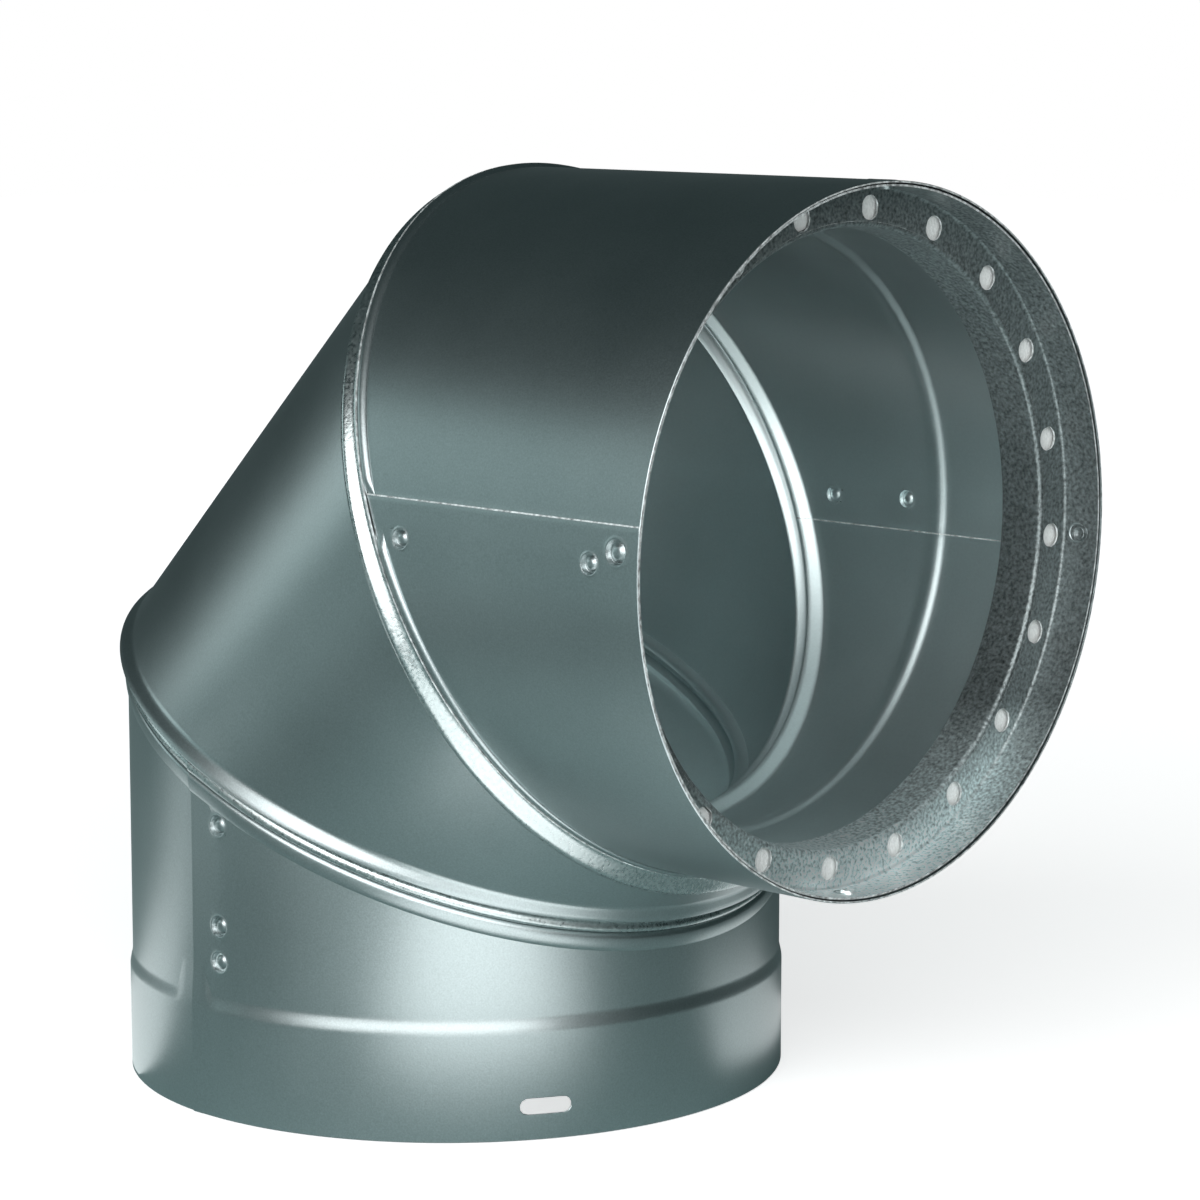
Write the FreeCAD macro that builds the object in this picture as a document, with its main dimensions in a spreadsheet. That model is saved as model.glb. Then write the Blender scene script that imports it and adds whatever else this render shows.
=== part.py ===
import FreeCAD, Part
import Sketcher
import math
import os

# Double wall flue elbow: a round outer shell and an inner liner, each of three mitred gores,
# with a ring of vent holes between them at the mouth and a spacer ring in the lower collar.
# Lengths are in mm. The lower rim stands on z = 0 with its centre at the origin,
# and the mouth opens towards +X.

os.makedirs("parts", exist_ok=True)
doc = FreeCAD.newDocument("FlueElbow")
sheet = doc.addObject("Spreadsheet::Sheet", "Sizes")


class Dim:
    """A length or an angle that knows both its number and its formula in the sheet of sizes."""

    def __init__(self, value, text):
        self.value = float(value)
        self.text = text

    @staticmethod
    def of(other):
        return other if isinstance(other, Dim) else Dim(other, repr(float(other)))

    def join(self, other, sign, value):
        return Dim(value, "(" + self.text + " " + sign + " " + other.text + ")")

    def __add__(self, other):
        other = Dim.of(other)
        return self.join(other, "+", self.value + other.value)

    def __radd__(self, other):
        return Dim.of(other) + self

    def __sub__(self, other):
        other = Dim.of(other)
        return self.join(other, "-", self.value - other.value)

    def __rsub__(self, other):
        return Dim.of(other) - self

    def __mul__(self, other):
        other = Dim.of(other)
        return self.join(other, "*", self.value * other.value)

    def __rmul__(self, other):
        return Dim.of(other) * self

    def __truediv__(self, other):
        other = Dim.of(other)
        return self.join(other, "/", self.value / other.value)

    def __neg__(self):
        return Dim(-self.value, "(0 - " + self.text + ")")


def tan(angle):
    return Dim(math.tan(math.radians(angle.value)), "tan(" + angle.text + ")")


def cos(angle):
    return Dim(math.cos(math.radians(angle.value)), "cos(" + angle.text + ")")


rows = []


def size(name, value):
    """Writes one size in the next row of the sheet and returns it."""
    rows.append(name)
    row = str(len(rows))
    sheet.set("A" + row, name)
    sheet.set("B" + row, str(value))
    sheet.setAlias("B" + row, name)
    return Dim(value, "Sizes." + name)


# Sizes of the whole elbow
shell_radius = size("shell_radius", 87.3)
shell_sheet = size("shell_sheet", 0.5)
air_gap = size("air_gap", 10.2)
liner_sheet = size("liner_sheet", 0.4)
loose_fit = size("loose_fit", 0.3)
slip_fit = size("slip_fit", 0.2)
mitre = size("mitre", 22.5)
lower_length = size("lower_length", 89.5)
middle_length = size("middle_length", 90.0)
upper_length = size("upper_length", 85.0)
# The liner bends tighter: its mitres lie this much nearer to the crossing of the two collar axes
liner_setback = size("liner_setback", 11.5)

# Slip-on band of the lower collar
band_height = size("band_height", 27.5)
band_slope = size("band_slope", 4.0)
slot_height = size("slot_height", 8.6)
slot_length = size("slot_length", 13.6)
slot_width = size("slot_width", 4.2)
slot_count = size("slot_count", 3)
slot_angle = size("slot_angle", -29.6)

# Drawn-in end of the upper collar, over which the next band slips
spigot_length = size("spigot_length", 27.5)
spigot_slope = size("spigot_slope", 3.0)
spigot_step = size("spigot_step", 0.2)

# Beads of the outer seams: distance of the crest from the mitre plane, half width and height
low_bead_offset = size("low_bead_offset", 2.15)
low_bead_half = size("low_bead_half", 1.95)
low_bead_height = size("low_bead_height", 1.1)
low_swage_offset = size("low_swage_offset", 5.9)
low_swage_half = size("low_swage_half", 1.4)
low_swage_height = size("low_swage_height", 0.5)
flare_offset = size("flare_offset", 1.9)
flare_half = size("flare_half", 2.7)
flare_height = size("flare_height", 1.1)
crown_offset = size("crown_offset", 3.1)
crown_half = size("crown_half", 2.2)
crown_height = size("crown_height", 1.1)
top_bead_offset = size("top_bead_offset", 1.2)
top_bead_half = size("top_bead_half", 1.5)
top_bead_height = size("top_bead_height", 0.9)
lap_gap_start = size("lap_gap_start", 92.0)
lap_gap_angle = size("lap_gap_angle", 6.0)

# Beads of the liner seams
liner_bead_half = size("liner_bead_half", 2.4)
liner_bead_height = size("liner_bead_height", 0.9)
liner_bead_offset = size("liner_bead_offset", 3.2)

# Free ends of the liner
liner_end_height = size("liner_end_height", 11.0)
male_length = size("male_length", 21.0)
male_slope = size("male_slope", 4.0)
female_step = size("female_step", 0.5)
female_depth = size("female_depth", 43.0)
female_slope = size("female_slope", 3.0)
liner_seat = size("liner_seat", 13.3)

# Vent ring and spacer ring
ring_sheet = size("ring_sheet", 0.5)
ring_recess = size("ring_recess", 11.2)
ring_skirt_start = size("ring_skirt_start", 3.5)
ring_flange_end = size("ring_flange_end", 23.5)
vent_inset = size("vent_inset", 5.4)
vent_radius = size("vent_radius", 3.1)
vent_count = size("vent_count", 20)
vent_angle = size("vent_angle", 4.6)
spacer_height = size("spacer_height", 38.0)
spacer_skirt = size("spacer_skirt", 8.0)
spacer_count = size("spacer_count", 4)

# Clinches: round dimples pressed into the laps and into the shell over the vent ring
clinch_radius = size("clinch_radius", 2.6)
clinch_depth = size("clinch_depth", 0.3)
ring_clinch_radius = size("ring_clinch_radius", 3.2)
ring_clinch_recess = size("ring_clinch_recess", 6.9)
ring_clinch_angle = size("ring_clinch_angle", 94.0)
lower_clinch_angle = size("lower_clinch_angle", -88.0)
lower_clinch_a = size("lower_clinch_a", 76.2)
lower_clinch_b = size("lower_clinch_b", 50.1)
lower_clinch_c = size("lower_clinch_c", 40.7)
upper_clinch_angle = size("upper_clinch_angle", 91.8)
upper_clinch_a = size("upper_clinch_a", 15.1)
upper_clinch_b = size("upper_clinch_b", 77.6)

# Sizes that follow from them
shell_inner = shell_radius - shell_sheet
middle_inner = shell_radius + loose_fit
middle_outer = middle_inner + shell_sheet
socket_inner = shell_radius + slip_fit
socket_outer = socket_inner + shell_sheet
spigot_outer = shell_radius - spigot_step
spigot_inner = spigot_outer - shell_sheet
liner_outer = shell_inner - air_gap
liner_bore = liner_outer - liner_sheet
female_inner = liner_bore + female_step
female_outer = female_inner + liner_sheet
flange_outer = female_inner - loose_fit
flange_inner = flange_outer - ring_sheet
male_outer = flange_inner - slip_fit
male_inner = male_outer - liner_sheet
skirt_outer = spigot_inner - slip_fit
skirt_inner = skirt_outer - ring_sheet
spacer_inner = liner_outer + loose_fit
crossing = middle_length * cos(2 * mitre)
liner_lower_length = lower_length + liner_setback
liner_upper_length = upper_length + liner_setback
liner_middle_length = middle_length - 2 * liner_setback * cos(2 * mitre)
upper_axis = lower_length + crossing
mouth_x = crossing + upper_length


def origin_plane(body, role):
    """The body's own origin plane or axis with this role."""
    return [feature for feature in body.Origin.OriginFeatures if feature.Role == role][0]


def new_sketch(body, role, name, offset=None):
    sketch = body.newObject("Sketcher::SketchObject", name)
    sketch.AttachmentSupport = [(origin_plane(body, role), "")]
    sketch.MapMode = "FlatFace"
    if offset is not None:
        sketch.AttachmentOffset = offset
    return sketch


def hold(sketch, kind, geometry, point, distance):
    """Holds one coordinate of a point at a distance from the sketch's origin."""
    if abs(distance.value) < 1e-9:
        axis = -2 if kind == "DistanceX" else -1
        sketch.addConstraint(Sketcher.Constraint("PointOnObject", geometry, point, axis))
        return
    if distance.value > 0:
        bond = Sketcher.Constraint(kind, -1, 1, geometry, point, distance.value)
        text = distance.text
    else:
        bond = Sketcher.Constraint(kind, geometry, point, -1, 1, -distance.value)
        text = (-distance).text
    number = sketch.addConstraint(bond)
    sketch.setExpression("Constraints[" + str(number) + "]", text)


def polygon(sketch, points):
    """Draws a closed polygon and holds each corner by the sheet of sizes."""
    corners = [(Dim.of(x), Dim.of(y)) for x, y in points]
    count = len(corners)
    vectors = [FreeCAD.Vector(x.value, y.value, 0) for x, y in corners]
    for i in range(count):
        sketch.addGeometry(Part.LineSegment(vectors[i], vectors[(i + 1) % count]), False)
    for i in range(count):
        sketch.addConstraint(Sketcher.Constraint("Coincident", i, 2, (i + 1) % count, 1))
    for i in range(count):
        hold(sketch, "DistanceX", i, 1, corners[i][0])
        hold(sketch, "DistanceY", i, 1, corners[i][1])


def circle(sketch, x, y, radius):
    centre = FreeCAD.Vector(x.value, y.value, 0)
    number = sketch.addGeometry(Part.Circle(centre, FreeCAD.Vector(0, 0, 1), radius.value), False)
    hold(sketch, "DistanceX", number, 3, x)
    hold(sketch, "DistanceY", number, 3, y)
    bond = sketch.addConstraint(Sketcher.Constraint("Radius", number, radius.value))
    sketch.setExpression("Constraints[" + str(bond) + "]", radius.text)


def ellipse(sketch, longer, shorter):
    sketch.addGeometry(Part.Ellipse(FreeCAD.Vector(0, 0, 0), longer.value, shorter.value), False)
    sketch.exposeInternalGeometry(0)
    sketch.addConstraint(Sketcher.Constraint("Coincident", 0, 3, -1, 1))
    sketch.addConstraint(Sketcher.Constraint("Horizontal", 1))
    for line, length in ((1, 2 * longer), (2, 2 * shorter)):
        bond = sketch.addConstraint(Sketcher.Constraint("Distance", line, length.value))
        sketch.setExpression("Constraints[" + str(bond) + "]", length.text)


def turned(body, name, points, cut=False, offset=None, angle=None):
    """Revolves a profile about the body's Z axis, to add or to cut."""
    sketch = new_sketch(body, "XZ_Plane", name + "Profile", offset)
    polygon(sketch, points)
    kind = "PartDesign::Groove" if cut else "PartDesign::Revolution"
    feature = body.newObject(kind, name)
    feature.Profile = sketch
    feature.ReferenceAxis = (sketch, ["V_Axis"])
    feature.Angle = 360.0 if angle is None else angle.value
    feature.Refine = False
    if angle is not None:
        feature.setExpression("Angle", angle.text)
    doc.recompute()
    return feature


def mitre_cut(body, name, height, side, reach):
    """Cuts off all that lies past the mitre plane, above it for side 1 and below it for side -1."""
    sketch = new_sketch(body, "XZ_Plane", name + "Profile")
    rise = tan(mitre) * reach
    far = height + side * (rise + reach)
    polygon(sketch, [(-reach, height + side * rise), (reach, height - side * rise), (reach, far), (-reach, far)])
    pocket = body.newObject("PartDesign::Pocket", name)
    pocket.Profile = sketch
    pocket.Refine = False
    pocket.SideType = "Symmetric"
    pocket.Length = 2 * reach.value
    pocket.setExpression("Length", (2 * reach).text)
    doc.recompute()
    return pocket


def seam_bead(body, name, end, side, radius, crest, half, rise, strips, cut=False):
    """Lofts a rounded bead through ellipses that lie parallel to a mitre plane."""
    sections = []
    for i in range(strips + 1):
        angle = 180.0 * i / strips
        inward = crest + half * round(math.cos(math.radians(angle)), 4)
        height = side * (end - inward)
        lift = rise * round(math.sin(math.radians(angle)), 4)
        ring = radius + lift if 0 < i < strips else radius - bead_root
        turn = FreeCAD.Rotation(FreeCAD.Vector(0, 1, 0), side * mitre.value)
        offset = FreeCAD.Placement(FreeCAD.Vector(0, 0, height.value), turn)
        sketch = new_sketch(body, "XY_Plane", name + "Section", offset)
        sketch.setExpression("AttachmentOffset.Base.z", height.text)
        ellipse(sketch, ring / cos(mitre), ring)
        sections.append(sketch)
    kind = "PartDesign::SubtractiveLoft" if cut else "PartDesign::AdditiveLoft"
    loft = body.newObject(kind, name)
    loft.Profile = sections[0]
    loft.Sections = sections[1:]
    loft.Ruled = True
    loft.Refine = False
    doc.recompute()
    return loft


def dimple(body, name, azimuth, height, wall, radius, depth, outward=True):
    """Presses a round dimple into the wall from outside, or from inside."""
    cutter = body.newObject("PartDesign::SubtractiveCylinder", name)
    reach = 4.0
    angle = math.radians(azimuth.value)
    out = FreeCAD.Vector(math.cos(angle), math.sin(angle), 0)
    start = wall.value - depth.value if outward else wall.value + depth.value - reach
    cutter.MapMode = "Deactivated"
    cutter.Placement = FreeCAD.Placement(
        FreeCAD.Vector(out.x * start, out.y * start, height.value),
        FreeCAD.Rotation(FreeCAD.Vector(0, 0, 1), out),
    )
    start_text = "(" + (wall - depth if outward else wall + depth - reach).text + ")"
    cutter.setExpression("Placement.Base.x", start_text + " * cos(" + azimuth.text + ")")
    cutter.setExpression("Placement.Base.y", start_text + " * sin(" + azimuth.text + ")")
    cutter.setExpression("Placement.Base.z", height.text)
    cutter.Height = reach
    cutter.Refine = False
    cutter.Radius = radius.value
    cutter.setExpression("Radius", radius.text)
    doc.recompute()
    return cutter


def around(body, name, feature, count):
    """Repeats a cut evenly around the body's Z axis."""
    pattern = body.newObject("PartDesign::PolarPattern", name)
    pattern.Originals = [feature]
    pattern.Refine = False
    pattern.Axis = (origin_plane(body, "Z_Axis"), [""])
    pattern.Angle = 360.0
    pattern.Occurrences = int(count.value)
    pattern.setExpression("Occurrences", count.text)
    body.Tip = pattern
    doc.recompute()
    return pattern


def stand_at_mouth(body):
    """Turns a body whose rim is on its own z = 0 so that the rim becomes the mouth."""
    turn = FreeCAD.Rotation(FreeCAD.Vector(0, 0, -1), FreeCAD.Vector(0, -1, 0), FreeCAD.Vector(-1, 0, 0), "ZXY")
    body.Placement = FreeCAD.Placement(FreeCAD.Vector(mouth_x.value, 0, upper_axis.value), turn)
    body.setExpression("Placement.Base.x", mouth_x.text)
    body.setExpression("Placement.Base.z", upper_axis.text)


def stand_between(body, setback):
    """Turns a middle gore to 45 degrees and puts its centre half way between the two mitres."""
    turn = FreeCAD.Rotation(FreeCAD.Vector(0, 1, 0), 2 * mitre.value)
    half = 0.5 * crossing
    x = half - 0.5 * setback
    z = lower_length + half + 0.5 * setback
    body.Placement = FreeCAD.Placement(FreeCAD.Vector(x.value, 0, z.value), turn)
    body.setExpression("Placement.Base.x", x.text)
    body.setExpression("Placement.Base.z", z.text)


def new_body(name, label):
    body = doc.addObject("PartDesign::Body", name)
    body.Label = label
    body.Placement = FreeCAD.Placement()
    return body


margin = Dim(2.0, "2.0")
bead_root = Dim(0.3, "0.3")
reach = shell_radius + 12
zero = Dim(0.0, "0")

# Lower collar of the shell
shell_lower = new_body("ShellLower", "shell_lower")
top = lower_length + tan(mitre) * reach
turned(shell_lower, "Collar", [
    (zero, zero),
    (socket_outer, zero),
    (socket_outer, band_height),
    (shell_radius, band_height + band_slope),
    (shell_radius, top),
    (zero, top),
])
seam_bead(shell_lower, "Bead", lower_length, 1, shell_radius,
          low_bead_offset, low_bead_half, low_bead_height, 3)
seam_bead(shell_lower, "Swage", lower_length, 1, shell_radius,
          low_swage_offset, low_swage_half, low_swage_height, 2)
mitre_cut(shell_lower, "Mitre", lower_length, 1, reach)
turned(shell_lower, "Bore", [
    (zero, -margin),
    (socket_inner, -margin),
    (socket_inner, band_height),
    (shell_inner, band_height + band_slope),
    (shell_inner, top + margin),
    (zero, top + margin),
], cut=True)
slot_sketch = new_sketch(shell_lower, "XZ_Plane", "SlotProfile", FreeCAD.Placement(
    FreeCAD.Vector(0, 0, 0), FreeCAD.Rotation(FreeCAD.Vector(0, 1, 0), slot_angle.value + 90.0)))
slot_half = 0.5 * (slot_length - slot_width)
slot_round = 0.5 * slot_width
low = slot_height - slot_round
high = slot_height + slot_round
slot_sketch.addGeometry(Part.LineSegment(FreeCAD.Vector(-slot_half.value, low.value, 0),
                                         FreeCAD.Vector(slot_half.value, low.value, 0)), False)
slot_sketch.addGeometry(Part.LineSegment(FreeCAD.Vector(slot_half.value, high.value, 0),
                                         FreeCAD.Vector(-slot_half.value, high.value, 0)), False)
slot_sketch.addGeometry(Part.ArcOfCircle(
    Part.Circle(FreeCAD.Vector(slot_half.value, slot_height.value, 0), FreeCAD.Vector(0, 0, 1), slot_round.value),
    -math.pi / 2, math.pi / 2), False)
slot_sketch.addGeometry(Part.ArcOfCircle(
    Part.Circle(FreeCAD.Vector(-slot_half.value, slot_height.value, 0), FreeCAD.Vector(0, 0, 1), slot_round.value),
    math.pi / 2, 3 * math.pi / 2), False)
slot_sketch.addConstraint(Sketcher.Constraint("Coincident", 0, 2, 2, 1))
slot_sketch.addConstraint(Sketcher.Constraint("Coincident", 2, 2, 1, 1))
slot_sketch.addConstraint(Sketcher.Constraint("Coincident", 1, 2, 3, 1))
slot_sketch.addConstraint(Sketcher.Constraint("Coincident", 3, 2, 0, 1))
hold(slot_sketch, "DistanceX", 2, 3, slot_half)
hold(slot_sketch, "DistanceY", 2, 3, slot_height)
hold(slot_sketch, "DistanceX", 3, 3, -slot_half)
hold(slot_sketch, "DistanceY", 3, 3, slot_height)
hold(slot_sketch, "DistanceX", 0, 1, -slot_half)
hold(slot_sketch, "DistanceY", 0, 1, low)
hold(slot_sketch, "DistanceX", 0, 2, slot_half)
hold(slot_sketch, "DistanceY", 0, 2, low)
hold(slot_sketch, "DistanceX", 1, 1, slot_half)
hold(slot_sketch, "DistanceX", 1, 2, -slot_half)
slot = shell_lower.newObject("PartDesign::Pocket", "Slot")
slot.Profile = slot_sketch
slot.Refine = False
slot.Length = socket_outer.value + 4.0
slot.setExpression("Length", (socket_outer + 4.0).text)
doc.recompute()
around(shell_lower, "Slots", slot, slot_count)
dimple(shell_lower, "ClinchA", lower_clinch_angle, lower_clinch_a, shell_radius, clinch_radius, clinch_depth)
dimple(shell_lower, "ClinchB", lower_clinch_angle, lower_clinch_b, shell_radius, clinch_radius, clinch_depth)
dimple(shell_lower, "ClinchC", lower_clinch_angle, lower_clinch_c, shell_radius, clinch_radius, clinch_depth)

# Middle gore of the shell
shell_middle = new_body("ShellMiddle", "shell_middle")
half_middle = 0.5 * middle_length
tall = half_middle + tan(mitre) * reach
turned(shell_middle, "Gore", [(zero, -tall), (middle_outer, -tall), (middle_outer, tall), (zero, tall)])
seam_bead(shell_middle, "Flare", half_middle, -1, middle_outer,
          flare_offset, flare_half, flare_height, 3)
seam_bead(shell_middle, "Crown", half_middle, 1, middle_outer,
          crown_offset, crown_half, crown_height, 3)
mitre_cut(shell_middle, "UpperMitre", half_middle, 1, reach)
mitre_cut(shell_middle, "LowerMitre", -half_middle, -1, reach)
turned(shell_middle, "Bore", [
    (zero, -tall - margin),
    (middle_inner, -tall - margin),
    (middle_inner, tall + margin),
    (zero, tall + margin),
], cut=True)
stand_between(shell_middle, zero)

# Upper collar of the shell, whose plain rim is the mouth
shell_upper = new_body("ShellUpper", "shell_upper")
top = upper_length + tan(mitre) * reach
turned(shell_upper, "Collar", [
    (zero, zero),
    (spigot_outer, zero),
    (spigot_outer, spigot_length),
    (shell_radius, spigot_length + spigot_slope),
    (shell_radius, top),
    (zero, top),
])
seam_bead(shell_upper, "Bead", upper_length, 1, shell_radius,
          top_bead_offset, top_bead_half, top_bead_height, 2)
turned(shell_upper, "LapGap", [
    (shell_radius, upper_length - 12),
    (shell_radius + 4, upper_length - 12),
    (shell_radius + 4, upper_length + 12),
    (shell_radius, upper_length + 12),
], cut=True, angle=lap_gap_angle, offset=FreeCAD.Placement(
    FreeCAD.Vector(0, 0, 0), FreeCAD.Rotation(FreeCAD.Vector(0, 1, 0), lap_gap_start.value)))
mitre_cut(shell_upper, "Mitre", upper_length, 1, reach)
turned(shell_upper, "Bore", [
    (zero, -margin),
    (spigot_inner, -margin),
    (spigot_inner, spigot_length),
    (shell_inner, spigot_length + spigot_slope),
    (shell_inner, top + margin),
    (zero, top + margin),
], cut=True)
dimple(shell_upper, "ClinchA", upper_clinch_angle, upper_clinch_a, spigot_outer, clinch_radius, clinch_depth)
dimple(shell_upper, "ClinchB", upper_clinch_angle, upper_clinch_b, shell_radius, clinch_radius, clinch_depth)
first = dimple(shell_upper, "RingClinch", ring_clinch_angle, ring_clinch_recess, spigot_outer,
               ring_clinch_radius, clinch_depth)
around(shell_upper, "RingClinches", first, Dim(4, "4"))
stand_at_mouth(shell_upper)

# Lower gore of the liner, drawn in at its free end
liner_lower = new_body("LinerLower", "liner_lower")
top = liner_lower_length + tan(mitre) * reach
male_top = liner_end_height + male_length
turned(liner_lower, "Gore", [
    (zero, liner_end_height),
    (male_outer, liner_end_height),
    (male_outer, male_top),
    (liner_outer, male_top + male_slope),
    (liner_outer, top),
    (zero, top),
])
seam_bead(liner_lower, "Bead", liner_lower_length, 1, liner_outer,
          liner_bead_offset, liner_bead_half + liner_sheet, liner_bead_height, 2)
mitre_cut(liner_lower, "Mitre", liner_lower_length, 1, reach)
turned(liner_lower, "Bore", [
    (zero, liner_end_height - margin),
    (male_inner, liner_end_height - margin),
    (male_inner, male_top),
    (liner_bore, male_top + male_slope),
    (liner_bore, top + margin),
    (zero, top + margin),
], cut=True)
seam_bead(liner_lower, "BeadInside", liner_lower_length, 1, liner_bore,
          liner_bead_offset, liner_bead_half, liner_bead_height, 2, cut=True)

# Middle gore of the liner
liner_middle = new_body("LinerMiddle", "liner_middle")
half_liner = 0.5 * liner_middle_length
tall = half_liner + tan(mitre) * reach
turned(liner_middle, "Gore", [(zero, -tall), (liner_outer, -tall), (liner_outer, tall), (zero, tall)])
mitre_cut(liner_middle, "UpperMitre", half_liner, 1, reach)
mitre_cut(liner_middle, "LowerMitre", -half_liner, -1, reach)
turned(liner_middle, "Bore", [
    (zero, -tall - margin),
    (liner_bore, -tall - margin),
    (liner_bore, tall + margin),
    (zero, tall + margin),
], cut=True)
stand_between(liner_middle, liner_setback)

# Upper gore of the liner, widened at its free end
liner_upper = new_body("LinerUpper", "liner_upper")
top = liner_upper_length + tan(mitre) * reach
turned(liner_upper, "Gore", [
    (zero, liner_seat),
    (female_outer, liner_seat),
    (female_outer, female_depth),
    (liner_outer, female_depth + female_slope),
    (liner_outer, top),
    (zero, top),
])
seam_bead(liner_upper, "Bead", liner_upper_length, 1, liner_outer,
          liner_bead_offset, liner_bead_half + liner_sheet, liner_bead_height, 2)
mitre_cut(liner_upper, "Mitre", liner_upper_length, 1, reach)
turned(liner_upper, "Bore", [
    (zero, liner_seat - margin),
    (female_inner, liner_seat - margin),
    (female_inner, female_depth),
    (liner_bore, female_depth + female_slope),
    (liner_bore, top + margin),
    (zero, top + margin),
], cut=True)
seam_bead(liner_upper, "BeadInside", liner_upper_length, 1, liner_bore,
          liner_bead_offset, liner_bead_half, liner_bead_height, 2, cut=True)
stand_at_mouth(liner_upper)

# Vent ring: a skirt against the shell, a web with the vent holes and a flange inside the liner
vent_ring = new_body("VentRing", "vent_ring")
web_back = ring_recess + ring_sheet
turned(vent_ring, "Section", [
    (skirt_inner, ring_skirt_start),
    (skirt_outer, ring_skirt_start),
    (skirt_outer, web_back),
    (flange_outer, web_back),
    (flange_outer, ring_flange_end),
    (flange_inner, ring_flange_end),
    (flange_inner, ring_recess),
    (skirt_inner, ring_recess),
])
vent_circle = skirt_inner - vent_inset
hole_x = Dim(vent_circle.value * math.cos(math.radians(vent_angle.value)),
             "(" + vent_circle.text + " * cos(" + vent_angle.text + "))")
hole_y = Dim(vent_circle.value * math.sin(math.radians(vent_angle.value)),
             "(" + vent_circle.text + " * sin(" + vent_angle.text + "))")
hole_sketch = new_sketch(vent_ring, "XY_Plane", "VentProfile")
circle(hole_sketch, -hole_x, -hole_y, vent_radius)
hole = vent_ring.newObject("PartDesign::Pocket", "Vent")
hole.Profile = hole_sketch
hole.SideType = "Symmetric"
hole.Length = 2 * web_back.value + 4
hole.setExpression("Length", (2 * web_back + 4).text)
doc.recompute()
around(vent_ring, "Vents", hole, vent_count)
stand_at_mouth(vent_ring)

# Spacer ring in the lower collar
spacer_ring = new_body("SpacerRing", "spacer_ring")
spacer_top = spacer_height + spacer_skirt
turned(spacer_ring, "Section", [
    (spacer_inner, spacer_height),
    (skirt_outer, spacer_height),
    (skirt_outer, spacer_top),
    (skirt_inner, spacer_top),
    (skirt_inner, spacer_height + ring_sheet),
    (spacer_inner, spacer_height + ring_sheet),
])
hole_sketch = new_sketch(spacer_ring, "XY_Plane", "VentProfile")
circle(hole_sketch, 0.5 * (skirt_inner + spacer_inner), zero, vent_radius)
hole = spacer_ring.newObject("PartDesign::Pocket", "Vent")
hole.Profile = hole_sketch
hole.SideType = "Symmetric"
hole.Length = 2 * spacer_height.value + 4
hole.setExpression("Length", (2 * spacer_height + 4).text)
doc.recompute()
around(spacer_ring, "Vents", hole, spacer_count)

doc.recompute()
bodies = [shell_lower, shell_middle, shell_upper, liner_lower, liner_middle, liner_upper, vent_ring, spacer_ring]
for thing in doc.Objects:
    if "Invalid" in thing.State or "Error" in thing.State:
        raise RuntimeError(thing.Name + " did not build")
for body in bodies:
    if body.Shape.isNull() or not body.Shape.isValid() or len(body.Shape.Solids) != 1:
        raise RuntimeError(body.Label + " is not one valid solid")
    body.Shape.exportStep("parts/" + body.Label + ".step")
    print(body.Label, round(body.Shape.Volume, 1))
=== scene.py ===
"""Dresses the double wall flue elbow: rolled sheet gores, beaded seams, vent ring and soft studio light."""
import logging
import math
from dataclasses import dataclass, field
from enum import Enum
from typing import Any, Sequence

import bmesh
import bpy
from mathutils import Matrix, Vector


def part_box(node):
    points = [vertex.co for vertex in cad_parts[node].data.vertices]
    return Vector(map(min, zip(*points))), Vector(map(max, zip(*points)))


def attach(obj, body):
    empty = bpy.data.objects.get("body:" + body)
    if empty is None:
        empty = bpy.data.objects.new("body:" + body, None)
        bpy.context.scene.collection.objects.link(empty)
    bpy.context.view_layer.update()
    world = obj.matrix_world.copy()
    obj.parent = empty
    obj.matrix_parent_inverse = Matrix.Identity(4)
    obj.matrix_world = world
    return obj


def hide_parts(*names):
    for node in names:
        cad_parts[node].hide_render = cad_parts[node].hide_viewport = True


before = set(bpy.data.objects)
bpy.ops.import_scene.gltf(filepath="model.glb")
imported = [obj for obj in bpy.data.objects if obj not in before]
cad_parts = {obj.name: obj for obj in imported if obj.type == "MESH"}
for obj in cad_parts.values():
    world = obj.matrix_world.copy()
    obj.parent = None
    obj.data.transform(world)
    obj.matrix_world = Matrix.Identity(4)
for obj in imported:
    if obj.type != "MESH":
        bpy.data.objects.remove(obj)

log = logging.getLogger("elbow")

MM = 0.001
MITRE = math.radians(22.5)
LEAN = math.tan(MITRE)
SHARP = math.radians(32.0)  # edges that bend more than this stay crisp

# Angles in degrees
HEEL_START = 100.0  # where beads begin to lose height towards the heel
HEEL_FADE = 60.0  # over which they lose it
GAP_FADE = 2.2  # over which a bead fades beside its gap
STEP_FADE = 1.6  # over which a drawn out step fades
LAP_EDGE = 0.24  # width of a lap's cut edge


class Where(Enum):
    """What a ring of points keeps its distance from."""

    RIM = "rim"
    LOW = "lower mitre"
    HIGH = "upper mitre"


class Coat(Enum):
    """The finishes that a gore can carry, as material slots."""

    SHEET = 0
    SPANGLE = 1
    EDGE = 2


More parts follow.
